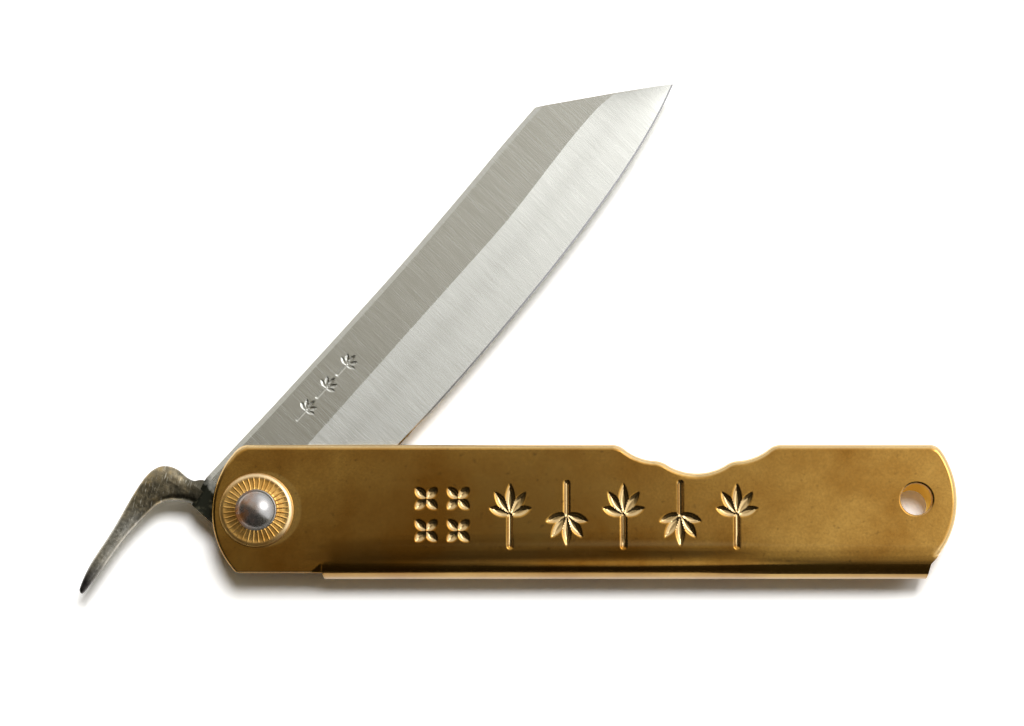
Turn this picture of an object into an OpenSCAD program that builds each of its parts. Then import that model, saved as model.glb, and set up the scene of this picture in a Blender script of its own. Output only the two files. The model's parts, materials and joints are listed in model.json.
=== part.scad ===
// Folding pocket knife: a sheet brass handle folded to a channel, and a forged blade with a thumb lever.
// Handle pieces are drawn round the pivot axis: X runs to the tail, Y to the open side, Z through the thickness.
// The blade is drawn along its own X with the spine on the +Y side, then turned about the same axis.

/* [Handle] */
// Length of the handle
handle_len = 100; // [90:0.5:115]
// From the pivot end of the handle to the pivot axis
pivot_inset = 6; // [5.6:0.1:7.5]
// From the pivot axis to the open edge of the cheeks
open_side = 8.85; // [8.6:0.05:10.5]
// From the pivot axis to the outside of the folded back
back_side = 9.15; // [9.1:0.05:10.5]
// From the pivot axis to the cut edge of the cheeks beside the lever
cut_side = 8.28; // [7.8:0.02:8.6]
// Thickness of the brass sheet
sheet_t = 1; // [0.8:0.05:1.2]
// Clearance between each flat of the blade and its cheek
side_gap = 0.1; // [0.06:0.01:0.2]
// Radius of the rounded pivot end
front_end_r = 12; // [10.5:0.1:14]
// Radius of the rounded tail
tail_end_r = 12; // [10.5:0.1:14]
// Height of the tail arc's centre above the pivot axis
tail_centre = 1.4; // [0.8:0.1:2]
// From the pivot axis to the start of the folded back
fold_start = 8.8; // [8.2:0.1:10]
// From the tail to the end of the folded back
fold_end_inset = 4.1; // [3.8:0.1:6]
// Lengthwise slant of both cut ends of the fold
fold_slant = 0.6; // [0.3:0.1:0.8]

/* [Pinch notch] */
// From the pivot axis to the middle of the notch
notch_x = 59.3; // [54:0.1:64]
// Depth of the middle scallop
notch_depth = 3.85; // [3.2:0.05:4.5]
// Radius of the middle scallop
notch_r = 7.6; // [7:0.1:8.4]
// Depth of the two outer scallops
shoulder_depth = 2.2; // [1.8:0.05:2.4]
// Radius of the two outer scallops
shoulder_r = 7.5; // [7:0.1:8]
// From the middle of the notch to the centre of each outer scallop
shoulder_offset = 5.6; // [5.2:0.1:6]

/* [Lanyard hole] */
// Radius of the hole
lanyard_r = 2.1; // [1.5:0.05:2.5]
// From the tail to the hole's axis
lanyard_inset = 5.5; // [4.6:0.1:7]
// Height of the hole's axis above the pivot axis
lanyard_height = 1.5; // [0.5:0.1:2.5]

/* [Pressed leaves] */
// Depth of the leaves pressed into the front cheek
press_d = 0.3; // [0.2:0.05:0.4]
// From the pivot axis to the first sprig
sprig_x = 34; // [32.5:0.1:36]
// Distance between sprigs
sprig_pitch = 7.6; // [7.2:0.1:8.2]
// Length of the longest leaf
leaf_len = 4; // [3.4:0.1:4.4]
// Width of a leaf
leaf_w = 1.05; // [0.8:0.05:1.3]
// Width of a stem
stem_w = 0.6; // [0.4:0.05:0.7]
// From the pivot axis to the middle of the four small rosettes
rosette_x = 24.9; // [23:0.1:26]
// Spacing of the four small rosettes
rosette_pitch = 4.3; // [4:0.1:4.8]

/* [Pivot] */
// Radius of the rivet's shank
shank_r = 1.5; // [1.2:0.05:1.8]
// Radial running clearance of the blade on the shank
pivot_gap = 0.05; // [0.02:0.01:0.08]
// Radius of the rivet's heads
head_r = 2.75; // [2.5:0.05:3]
// Thickness of the brim round each head
brim_t = 0.25; // [0.2:0.05:0.4]
// Width of the brim round each head
brim_w = 0.3; // [0.2:0.05:0.4]
// Height of each head's dome above its brim
dome_h = 1.1; // [0.8:0.05:1.3]
// Radius of the washers
washer_r = 5; // [4.7:0.05:5.4]
// Height of the washers
washer_h = 0.9; // [0.7:0.05:1.2]
// Height of the washers at the start of their rolled rim
washer_rim_h = 0.65; // [0.5:0.05:0.65]
// Width of the rolled rim
washer_rim_w = 0.6; // [0.5:0.05:0.7]
// Number of radial flutes
flute_count = 36; // [24:1:40]
// Depth of a flute
flute_depth = 0.2; // [0.1:0.02:0.25]
// Width of a flute
flute_w = 0.22; // [0.14:0.02:0.26]

/* [Blade] */
// Angle of the blade from its place along the handle
rest_angle = 48.5; // [20:0.5:90]
// From the pivot axis to the tip along the blade
blade_reach = 81; // [70:0.2:84]
// Thickness of the blade
blade_t = 3; // [2.5:0.1:3.5]
// Thickness left at the cutting edge
edge_t = 0.15; // [0.1:0.01:0.3]
// From the pivot axis to the spine
spine_h = 8.1; // [7.6:0.05:8.4]
// From the pivot axis down to the lowest part of the edge
belly = 8.55; // [8:0.05:8.6]
// From the pivot axis down to the tip
tip_drop = 3.5; // [2.6:0.1:4.2]
// Length of the slanted point, measured along the spine
clip_len = 14.7; // [11:0.1:18]
// From the pivot axis to the heel of the edge
heel_x = 11.2; // [10.6:0.1:13]
// Rise of the edge at the heel
heel_rise = 0.45; // [0.2:0.05:0.8]
// From the pivot axis to the lowest part of the edge, along the blade
belly_x = 30; // [26:0.5:36]
// Height of the grind line above the pivot axis
ridge_h = 0.85; // [0:0.05:2]
// Rise of the grind line towards the point
ridge_rise = 1.1; // [0.6:0.1:1.6]
// From the tip back to the highest place of the grind line
ridge_peak_inset = 10.6; // [9:0.1:12]
// Radius of the tang round the pivot
tang_r = 5.25; // [4.6:0.05:5.5]
// From the pivot axis down to the tang's corner in front of the heel
tang_low = 6.8; // [6.2:0.1:6.9]
// Width of the chamfer along the spine
chamfer_w = 0.7; // [0.4:0.05:1]
// Depth of the chamfer along the spine
chamfer_d = 0.3; // [0.2:0.05:0.5]
// Depth of the engraved sprigs
engrave_d = 0.12; // [0.08:0.02:0.2]
// Length of a leaf of the engraved sprigs
engrave_leaf = 1.7; // [1.3:0.1:1.9]
// From the pivot axis to the first engraved sprig
engrave_x = 14.4; // [13.6:0.1:17]

/* [Lever] */
// From the pivot axis to the lever's tip, along the blade
lever_reach = 24; // [20:0.2:28]
// Height of the lever's bend above the pivot axis, on its centre line
bend_h = 12.3; // [12:0.1:13]
// Height of the lever's tip above the pivot axis, on its centre line
tip_h = 10.5; // [10.4:0.1:11.5]
// Width of the lever's neck
neck_w = 3; // [2.6:0.1:3.4]
// Width of the lever at its bend
bend_w = 4.2; // [3.6:0.1:4.4]
// Width along the lever's arm
arm_w = 1.8; // [1.4:0.1:2.2]
// Width of the lever's tip
lever_tip_w = 0.8; // [0.6:0.1:1.2]
// Thickness of the lever at its neck
neck_t = 2.8; // [2.2:0.1:2.9]
// Thickness of the lever at its tip
lever_tip_t = 1.4; // [1:0.1:2]

/* [Hidden] */
$fn = 96;

// Fits through the thickness
slot_w = blade_t + 2 * side_gap;
handle_t = slot_w + 2 * sheet_t;
half_t = handle_t / 2;
head_base = half_t + washer_h;
half_height = head_base + brim_t + dome_h;
bore_r = shank_r + pivot_gap;
flute_inset = 0.1;
past = 1;

// Handle outline
tail_x = handle_len - pivot_inset;
front_centre_x = front_end_r - pivot_inset;
tail_centre_x = tail_x - tail_end_r;
fold_end = tail_x - fold_end_inset;
bend_centre = back_side - half_t;

// Leaf layout: sprigs point up and down by turns along the middle of the cheek
sprig_count = 5;
band_y = -0.6;
sprig_leaves = [[0, 1], [34, 0.88], [-34, 0.88], [72, 0.7], [-72, 0.7]];
petal_len = 1.75;
petal_gap = 0.15;

// Blade outline
clip_x = blade_reach - clip_len;
plunge_x = heel_x - 1.6;
shoulder_x = -1.25;
ridge_peak = blade_reach - ridge_peak_inset;
ridge_run = 22;
ridge_fall = 0.028;
least_bevel = 1.5;
edge_steps = 22;
edge_xs = [for (i = [0:edge_steps]) heel_x + (blade_reach - heel_x) * i / edge_steps];
engrave_y = (spine_h - chamfer_w + ridge_h) / 2;
engrave_pitch = 4.1;

function belly_share(x) = (x - belly_x) / (blade_reach - belly_x);
function edge_rise(u) = 0.66 * u ^ 2 + 0.34 * u ^ 6;
function edge_y(x) = x > belly_x
    ? -belly + (belly - tip_drop) * edge_rise(belly_share(x))
    : -belly + heel_rise * ((belly_x - x) / (belly_x - heel_x)) ^ 2;
function ridge_y(x) = x < ridge_peak
    ? blend(ridge_h, ridge_h + ridge_rise, 1 + (x - ridge_peak) / ridge_run)
    : ridge_h + ridge_rise - ridge_fall * (x - ridge_peak) ^ 2;

blade_points = concat(
    [for (x = edge_xs) [x, edge_y(x)]],
    [
        [clip_x, spine_h],
        [shoulder_x, spine_h],
        [-tang_r, spine_h - past],
        [-tang_r, 0],
        [0, -tang_r],
        [plunge_x, -tang_low]
    ]
);

// Lever: two cubic curves, from inside the tang round the bend and out to the tip
lever_rings = 11;
lever_sides = 16;
lever_square = 3;
root_point = [-3.3, spine_h - 1.3];
bend_point = [-7.2, bend_h];
tip_point = [-lever_reach + lever_tip_w / 2, tip_h];
neck_curve = [root_point, [-3.9, spine_h + 0.7], [-4.4, bend_h - 0.1], bend_point];
arm_curve = [bend_point, [-11.5, bend_h + 0.1], [-16, (bend_h + tip_h) / 2 + 0.2], tip_point];

function curve_at(c, t) =
    (1 - t) ^ 3 * c[0] + 3 * (1 - t) ^ 2 * t * c[1] + 3 * (1 - t) * t ^ 2 * c[2] + t ^ 3 * c[3];
function curve_dir(c, t) =
    (1 - t) ^ 2 * (c[1] - c[0]) + 2 * (1 - t) * t * (c[2] - c[1]) + t ^ 2 * (c[3] - c[2]);
function limit01(u) = min(max(u, 0), 1);
function blend(a, b, u) = a + (b - a) * (1 - cos(180 * limit01(u))) / 2;
function neck_width(t) = blend(neck_w, bend_w, (t - 0.2) / 0.5);
function arm_width(t) = t < 0.5
    ? blend(bend_w, arm_w, t / 0.5)
    : arm_w + (lever_tip_w - arm_w) * ((t - 0.5) / 0.5) ^ 2;
function rounded(v) = sign(v) * abs(v) ^ (2 / lever_square);
function lever_ring(centre, dir, w, t) = [
    for (j = [0:lever_sides - 1])
        let (
            a = 360 * (j + 0.5) / lever_sides,
            side = w / 2 * rounded(cos(a)),
            n = [dir.y, -dir.x] / norm(dir)
        )
        [centre.x + n.x * side, centre.y + n.y * side, t / 2 * rounded(sin(a))]
];
lever_points = concat(
    [
        for (i = [0:lever_rings - 1])
            let (t = i / lever_rings)
            each lever_ring(curve_at(neck_curve, t), curve_dir(neck_curve, t), neck_width(t), neck_t)
    ],
    [
        for (i = [0:lever_rings])
            let (t = i / lever_rings)
            each lever_ring(
                curve_at(arm_curve, t),
                curve_dir(arm_curve, t),
                arm_width(t),
                neck_t + (lever_tip_t - neck_t) * t
            )
    ]
);

// Corners of tubes made of rings of points: two end faces, and two triangles for each side of each step
function tube_faces(rings, sides) = concat(
    [[for (j = [sides - 1:-1:0]) j]],
    [
        for (i = [0:rings - 2], j = [0:sides - 1])
            let (k = (j + 1) % sides)
            each [
                [i * sides + j, i * sides + k, (i + 1) * sides + k],
                [i * sides + j, (i + 1) * sides + k, (i + 1) * sides + j]
            ]
    ],
    [[for (j = [0:sides - 1]) (rings - 1) * sides + j]]
);

// The part stands on its lower rivet head, with its origin under the middle of its outline at rest
function turned(p) = [
    p.x * cos(rest_angle) - p.y * sin(rest_angle),
    p.x * sin(rest_angle) + p.y * cos(rest_angle)
];
moving_points = [for (p = concat(blade_points, lever_points)) turned(p)];
low_x = min(-pivot_inset, min([for (p = moving_points) p.x]));
high_x = max(tail_x, max([for (p = moving_points) p.x]));
low_y = min(-back_side, min([for (p = moving_points) p.y]));
high_y = max(open_side, max([for (p = moving_points) p.y]));
pivot_place = [-(low_x + high_x) / 2, -(low_y + high_y) / 2, half_height];
echo(pivot = pivot_place, lanyard_x = tail_x - lanyard_inset);

module at_pivot() {
    translate(pivot_place)
        children();
}

// Leaf with its stalk end at the origin, along X
module leaf(length, width) {
    arc_r = (length ^ 2 + width ^ 2) / (4 * width);
    translate([length / 2, 0])
        intersection() {
            translate([0, arc_r - width / 2])
                circle(r = arc_r);
            translate([0, width / 2 - arc_r])
                circle(r = arc_r);
        }
}

// Sprig of leaves fanned round the +Y direction on a short stem
module sprig(length, width, stem, leaves) {
    translate([-stem / 2, -length * 1.05])
        square([stem, length * 1.15]);
    for (l = leaves)
        rotate(90 + l[0])
            leaf(length * l[1], width);
}

module rosette() {
    for (a = [45:90:315])
        rotate(a)
            translate([petal_gap, 0])
                leaf(petal_len, leaf_w);
}

module leaf_outline() {
    for (i = [0:sprig_count - 1])
        translate([sprig_x + i * sprig_pitch, band_y])
            rotate(i % 2 == 0 ? 0 : 180)
                sprig(leaf_len, leaf_w, stem_w, sprig_leaves);
    for (sx = [-1, 1], sy = [-1, 1])
        translate([rosette_x + sx * rosette_pitch / 2, band_y + sy * rosette_pitch / 2])
            rosette();
}

// Channel section in Y and Z, open on the +Y side
module channel_section() {
    difference() {
        union() {
            translate([-bend_centre, -half_t])
                square([bend_centre + open_side, handle_t]);
            translate([-bend_centre, 0])
                circle(r = half_t);
        }
        translate([-bend_centre, -slot_w / 2])
            square([bend_centre + open_side + past, slot_w]);
        translate([-bend_centre, 0])
            circle(r = slot_w / 2);
    }
}

// Side outline of both cheeks with the fold, without the notch
module cheek_outline() {
    intersection() {
        translate([-pivot_inset - past, -back_side])
            square([handle_len + 2 * past, back_side + open_side]);
        union() {
            translate([front_centre_x, 0])
                circle(r = front_end_r);
            translate([front_centre_x, -back_side])
                square([tail_centre_x - front_centre_x, back_side + open_side]);
            translate([tail_centre_x, tail_centre])
                circle(r = tail_end_r);
            polygon([
                [tail_centre_x, -back_side],
                [fold_end, -back_side],
                [fold_end + fold_slant, -bend_centre],
                [tail_centre_x, -bend_centre]
            ]);
        }
    }
}

module notch() {
    translate([notch_x, open_side - notch_depth + notch_r])
        circle(r = notch_r);
    for (s = [-1, 1])
        translate([notch_x + s * shoulder_offset, open_side - shoulder_depth + shoulder_r])
            circle(r = shoulder_r);
}

// The fold stops short of the pivot end, where the lever and tang swing through
module fold_clearance() {
    polygon([
        [-pivot_inset - past, -cut_side],
        [fold_start, -cut_side],
        [fold_start + fold_slant, -back_side - past],
        [-pivot_inset - past, -back_side - past]
    ]);
}

module handle() {
    color("#a5793a")
        at_pivot()
            difference() {
                intersection() {
                    union() {
                        translate([fold_start, 0, 0])
                            rotate([90, 0, 90])
                                linear_extrude(height = tail_x - fold_start)
                                    channel_section();
                        for (s = [0, 1])
                            mirror([0, 0, s])
                                translate([-pivot_inset, -cut_side, slot_w / 2])
                                    cube([pivot_inset + fold_start, cut_side + open_side, sheet_t]);
                    }
                    linear_extrude(height = handle_t, center = true)
                        difference() {
                            cheek_outline();
                            notch();
                            fold_clearance();
                        }
                }
                translate([0, 0, half_t - press_d])
                    linear_extrude(height = press_d + past)
                        leaf_outline();
                cylinder(r = shank_r, h = handle_t + 2 * past, center = true);
                translate([tail_x - lanyard_inset, lanyard_height, 0])
                    cylinder(r = lanyard_r, h = handle_t + 2 * past, center = true);
            }
}

// Washer standing on z = 0: flat seat, fluted slope and rolled rim
module washer() {
    seat_r = head_r + 0.05;
    rim_start = washer_r - washer_rim_w;
    slope = atan((washer_h - washer_rim_h) / (rim_start - seat_r));
    difference() {
        rotate_extrude() {
            polygon([
                [shank_r, 0],
                [washer_r - washer_rim_h, 0],
                [rim_start, washer_rim_h],
                [seat_r, washer_h],
                [shank_r, washer_h]
            ]);
            intersection() {
                translate([washer_r - washer_rim_h, 0])
                    circle(r = washer_rim_h);
                translate([shank_r, 0])
                    square([washer_r, washer_rim_h]);
            }
        }
        for (i = [0:flute_count - 1])
            rotate([0, 0, 360 * (i + 0.5) / flute_count])
                translate([seat_r, 0, washer_h])
                    rotate([0, slope, 0])
                        flute(-flute_inset * 2, rim_start - seat_r - flute_inset);
    }
}

// V groove along X, from one distance to the other
module flute(from, to) {
    translate([from, 0, 0])
        rotate([90, 0, 90])
            linear_extrude(height = to - from)
                polygon([
                    [0, -flute_depth],
                    [flute_w, flute_depth],
                    [-flute_w, flute_depth]
                ]);
}

module front_washer() {
    color("#c49a50")
        at_pivot()
            translate([0, 0, half_t])
                washer();
}

module back_washer() {
    color("#b98e46")
        at_pivot()
            mirror([0, 0, 1])
                translate([0, 0, half_t])
                    washer();
}

// Rivet head standing on z = 0: a thin brim with a dome inside it
module rivet_head() {
    foot_r = head_r - brim_w;
    ball_r = (foot_r ^ 2 + dome_h ^ 2) / (2 * dome_h);
    cylinder(r = head_r, h = brim_t);
    intersection() {
        translate([0, 0, brim_t + dome_h - ball_r])
            sphere(r = ball_r);
        cylinder(r = foot_r, h = brim_t + dome_h + past);
    }
}

module pivot_rivet() {
    color("#8f9093")
        at_pivot() {
            cylinder(r = shank_r, h = 2 * head_base, center = true);
            for (s = [0, 1])
                mirror([0, 0, s])
                    translate([0, 0, head_base])
                        rivet_head();
        }
}

// Wedge that grinds one side of the blade from the grind line down to the edge
module bevel_cut() {
    lift = 0.5;
    xs = concat([plunge_x], edge_xs, [blade_reach + past]);
    points = [
        for (x = xs)
            let (
                bottom = edge_y(x),
                top = max(ridge_y(x), bottom + least_bevel),
                slope = (blade_t - edge_t) / 2 / (top - bottom),
                start = x > plunge_x ? edge_t / 2 - slope * past : blade_t / 2 + lift / 2
            )
            each [
                [x, top + lift / slope, blade_t / 2 + lift],
                [x, bottom - past, start],
                [x, bottom - past, blade_t / 2 + lift]
            ]
    ];
    polyhedron(points = points, faces = tube_faces(len(xs), 3));
}

module spine_chamfer() {
    translate([clip_x + past, spine_h, blade_t / 2])
        rotate([0, -90, 0])
            linear_extrude(height = clip_x - shoulder_x + 2 * past)
                polygon([
                    [-chamfer_d, past / 10],
                    [-chamfer_d, 0],
                    [0, -chamfer_w],
                    [past / 10, -chamfer_w],
                    [past / 10, past / 10]
                ]);
}

module blade() {
    color("#b4b6b2")
        at_pivot()
            rotate([0, 0, rest_angle])
                difference() {
                    union() {
                        difference() {
                            linear_extrude(height = blade_t, center = true)
                                union() {
                                    polygon(blade_points);
                                    circle(r = tang_r);
                                }
                            for (s = [0, 1])
                                mirror([0, 0, s]) {
                                    bevel_cut();
                                    spine_chamfer();
                                }
                        }
                        polyhedron(points = lever_points, faces = tube_faces(2 * lever_rings + 1, lever_sides));
                    }
                    cylinder(r = bore_r, h = blade_t + 2 * past, center = true);
                    for (i = [0:2])
                        translate([engrave_x + i * engrave_pitch, engrave_y, blade_t / 2 - engrave_d])
                            linear_extrude(height = engrave_d + past)
                                rotate(-90)
                                    sprig(engrave_leaf, engrave_leaf / 4, engrave_leaf / 7, sprig_leaves);
                }
}

handle();
front_washer();
back_washer();
pivot_rivet();
blade();
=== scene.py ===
import json
import math

import bmesh
import bpy
import numpy as np
from mathutils import Matrix, Vector


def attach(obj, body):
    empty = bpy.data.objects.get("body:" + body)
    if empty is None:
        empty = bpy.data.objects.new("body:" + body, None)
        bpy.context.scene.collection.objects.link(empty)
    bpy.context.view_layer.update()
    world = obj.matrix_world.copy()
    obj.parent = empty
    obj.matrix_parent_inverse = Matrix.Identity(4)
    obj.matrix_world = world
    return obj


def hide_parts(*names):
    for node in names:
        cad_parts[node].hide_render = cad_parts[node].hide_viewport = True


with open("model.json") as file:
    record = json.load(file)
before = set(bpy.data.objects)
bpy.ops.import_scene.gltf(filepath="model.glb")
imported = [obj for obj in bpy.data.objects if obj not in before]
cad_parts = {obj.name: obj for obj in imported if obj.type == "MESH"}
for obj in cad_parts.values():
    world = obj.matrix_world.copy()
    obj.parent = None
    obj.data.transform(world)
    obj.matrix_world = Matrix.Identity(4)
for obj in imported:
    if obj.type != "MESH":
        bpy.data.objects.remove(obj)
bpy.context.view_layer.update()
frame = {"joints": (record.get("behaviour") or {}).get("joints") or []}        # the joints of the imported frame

pivot = Vector(frame["joints"][0]["pos_m"])      # the blade turns about this point
restAngle = math.radians(48.5)                   # from the handle to the blade, as the frame has it
mm = 0.001
scene = bpy.context.scene
print("frame loaded, pivot at", [round(v, 5) for v in pivot])


# Pieces are modelled in millimetres round the pivot axis, X to the tail, Y to the open side,
# and put in the frame in metres when they are finished.

def onlyThis(obj):
    bpy.ops.object.select_all(action="DESELECT")
    obj.select_set(True)
    bpy.context.view_layer.objects.active = obj


def startEdit(obj):
    onlyThis(obj)
    bpy.ops.object.mode_set(mode="EDIT")
    bpy.ops.mesh.select_mode(type="FACE")
    bpy.ops.mesh.select_all(action="DESELECT")


def endEdit():
    bpy.ops.object.mode_set(mode="OBJECT")


def pickFaces(obj, wanted):      # wanted(centre, normal) says which faces are selected
    bpy.ops.mesh.select_all(action="DESELECT")
    mesh = bmesh.from_edit_mesh(obj.data)
    for face in mesh.faces:
        if wanted(face.calc_center_median(), face.normal):
            face.select_set(True)
    bmesh.update_edit_mesh(obj.data)


def pull(x=0, y=0, z=0):
    bpy.ops.mesh.extrude_region_move(TRANSFORM_OT_translate={"value": (x, y, z)})


def useModifier(obj, kind, **settings):
    onlyThis(obj)
    modifier = obj.modifiers.new(kind, kind)
    for name, value in settings.items():
        setattr(modifier, name, value)
    bpy.ops.object.modifier_apply(modifier=modifier.name)


def combine(obj, other, operation):
    useModifier(obj, "BOOLEAN", operation=operation, object=other, solver="EXACT")
    bpy.data.objects.remove(other)


def rod(x, y, radius, low, high, sides=64):
    bpy.ops.mesh.primitive_cylinder_add(
        vertices=sides, radius=radius, depth=high - low, location=(x, y, (low + high) / 2))
    made = bpy.context.object
    bpy.ops.object.transform_apply(location=True, rotation=False, scale=False)
    return made


def arc(centre, radius, start, end, step=0.7):      # angles in degrees
    count = max(3, round(abs(math.radians(end - start)) * radius / step))
    angles = [math.radians(start + (end - start) * i / count) for i in range(count + 1)]
    return [(centre[0] + radius * math.cos(a), centre[1] + radius * math.sin(a)) for a in angles]


def prism(points, low, high):      # a disc whose rim is moved onto the points, then pulled up
    bpy.ops.mesh.primitive_circle_add(vertices=len(points), radius=1, fill_type="NGON")
    made = bpy.context.object
    for vertex, (x, y) in zip(made.data.vertices, points):
        vertex.co = (x, y, low)
    startEdit(made)
    bpy.ops.mesh.select_all(action="SELECT")
    pull(z=high - low)
    bpy.ops.mesh.select_all(action="SELECT")
    bpy.ops.mesh.normals_make_consistent(inside=False)
    endEdit()
    return made


def loft(rings):      # a grid wrapped round rings of points, with its seam merged and its ends filled
    sides = len(rings[0])
    bpy.ops.mesh.primitive_grid_add(x_subdivisions=sides, y_subdivisions=len(rings) - 1, size=1)
    made = bpy.context.object
    for i, ring in enumerate(rings):
        for j in range(sides + 1):
            made.data.vertices[i * (sides + 1) + j].co = ring[j % sides]
    startEdit(made)
    bpy.ops.mesh.select_all(action="SELECT")
    bpy.ops.mesh.remove_doubles(threshold=1e-4)
    bpy.ops.mesh.select_all(action="DESELECT")
    bpy.ops.mesh.select_mode(type="EDGE")
    bpy.ops.mesh.select_non_manifold()
    bpy.ops.mesh.fill_holes(sides=0)
    bpy.ops.mesh.select_all(action="SELECT")
    bpy.ops.mesh.normals_make_consistent(inside=False)
    endEdit()
    return made


def turnProfile(points, steps):      # a profile in X and Z spun about the pivot axis
    bpy.ops.mesh.primitive_grid_add(x_subdivisions=len(points) - 1, y_subdivisions=1, size=1)
    made = bpy.context.object
    startEdit(made)
    pickFaces(made, lambda centre, normal: True)
    bpy.ops.mesh.select_mode(type="VERT")
    mesh = bmesh.from_edit_mesh(made.data)
    mesh.verts.ensure_lookup_table()
    rowLength = len(points)
    for i, (x, z) in enumerate(points):
        mesh.verts[i].co = (x, 0, z)
    bmesh.ops.delete(mesh, geom=[v for v in mesh.verts if v.index >= rowLength], context="VERTS")
    bmesh.update_edit_mesh(made.data)
    bpy.ops.mesh.select_all(action="SELECT")
    bpy.ops.mesh.spin(steps=steps, angle=2 * math.pi, center=(0, 0, 0), axis=(0, 0, 1))
    bpy.ops.mesh.select_all(action="SELECT")
    bpy.ops.mesh.remove_doubles(threshold=1e-4)
    bpy.ops.mesh.normals_make_consistent(inside=False)
    endEdit()
    return made


def smooth(obj, angle=32):
    onlyThis(obj)
    bpy.ops.object.shade_smooth_by_angle(angle=math.radians(angle))
    useModifier(obj, "WEIGHTED_NORMAL", keep_sharp=True, weight=60)


def putInFrame(obj, name, body, node, materials, turn=0.0):
    obj.name = obj.data.name = name
    obj.data.transform(Matrix.Translation(pivot) @ Matrix.Rotation(turn, 4, "Z") @ Matrix.Scale(mm, 4))
    obj.data.materials.clear()
    for material in materials:
        obj.data.materials.append(material)
    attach(obj, body)
    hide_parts(node)
    print("piece", name, len(obj.data.polygons), "faces")


# Colours are written as sRGB hex
def hexColour(code):
    channels = [int(code[i:i + 2], 16) / 255 for i in (1, 3, 5)]
    return (*[c / 12.92 if c <= 0.04045 else ((c + 0.055) / 1.055) ** 2.4 for c in channels], 1)


def feed(tree, node, inputs):      # an input is a value or another node's socket
    for name, value in inputs.items():
        if isinstance(value, bpy.types.NodeSocket):
            tree.links.new(value, node.inputs[name])
        else:
            node.inputs[name].default_value = value


def addNode(tree, kind, inputs={}, **settings):
    made = tree.nodes.new(kind)
    for name, value in settings.items():
        setattr(made, name, value)
    feed(tree, made, inputs)
    return made


def newMaterial(name, turn=0.0):      # with coordinates in mm round the pivot, along the handle or the blade
    material = bpy.data.materials.new(name)
    material.use_nodes = True
    tree = material.node_tree
    place = addNode(tree, "ShaderNodeTexCoord")
    toMm = addNode(tree, "ShaderNodeMapping", {
        "Vector": place.outputs["Object"], "Location": Matrix.Rotation(-turn, 3, "Z") @ pivot / -mm,
        "Rotation": (0, 0, -turn), "Scale": (1 / mm, 1 / mm, 1 / mm)})
    return material, tree, tree.nodes["Principled BSDF"], toMm.outputs["Vector"]


def noise(tree, coords, size, detail, roughness=0.5):      # its size in mm
    made = addNode(tree, "ShaderNodeTexNoise", {
        "Vector": coords, "Scale": 1 / size, "Detail": detail, "Roughness": roughness})
    return made.outputs["Fac"]


def streaks(tree, coords, angle, width, length, detail=2.0):      # lines across the angle, sizes in mm
    turned = addNode(tree, "ShaderNodeMapping", {"Vector": coords, "Rotation": (0, 0, -math.radians(angle))})
    drawn = addNode(tree, "ShaderNodeMapping", {
        "Vector": turned.outputs[0], "Scale": (1 / width, 1 / length, 1 / length)})
    return noise(tree, drawn.outputs[0], 1, detail)


def toRange(tree, value, fromMin, fromMax, toMin, toMax):
    made = addNode(tree, "ShaderNodeMapRange", {
        "Value": value, "From Min": fromMin, "From Max": fromMax, "To Min": toMin, "To Max": toMax})
    return made.outputs["Result"]


def maths(tree, operation, a, b):
    return addNode(tree, "ShaderNodeMath", {0: a, 1: b}, operation=operation).outputs[0]


def plus(tree, a, b):
    return maths(tree, "ADD", a, b)


def times(tree, a, b):
    return maths(tree, "MULTIPLY", a, b)


def mixColours(tree, share, a, b):
    return addNode(tree, "ShaderNodeMix", {0: share, 6: a, 7: b}, data_type="RGBA").outputs[2]


def mixValues(tree, share, a, b):
    return addNode(tree, "ShaderNodeMix", {0: share, 2: a, 3: b}, data_type="FLOAT").outputs[0]


def tinted(tree, colour, code, value, span):      # mixed towards a hex colour as a value crosses a span
    return mixColours(tree, toRange(tree, value, *span), colour, hexColour(code))


def splitAxes(tree, coords):
    made = addNode(tree, "ShaderNodeSeparateXYZ", {"Vector": coords})
    return made.outputs["X"], made.outputs["Y"], made.outputs["Z"]


def flatDistance(tree, x, y, spot=(0, 0, 0)):      # from a spot, seen along Z
    flat = addNode(tree, "ShaderNodeCombineXYZ", {"X": x, "Y": y})
    made = addNode(tree, "ShaderNodeVectorMath", {0: flat.outputs[0], 1: spot}, operation="DISTANCE")
    return made.outputs["Value"]


def addBump(tree, shader, height, strength, distance):      # the distance in mm
    bump = addNode(tree, "ShaderNodeBump", {"Height": height, "Strength": strength, "Distance": distance * mm})
    feed(tree, shader, {"Normal": bump.outputs[0]})
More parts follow.
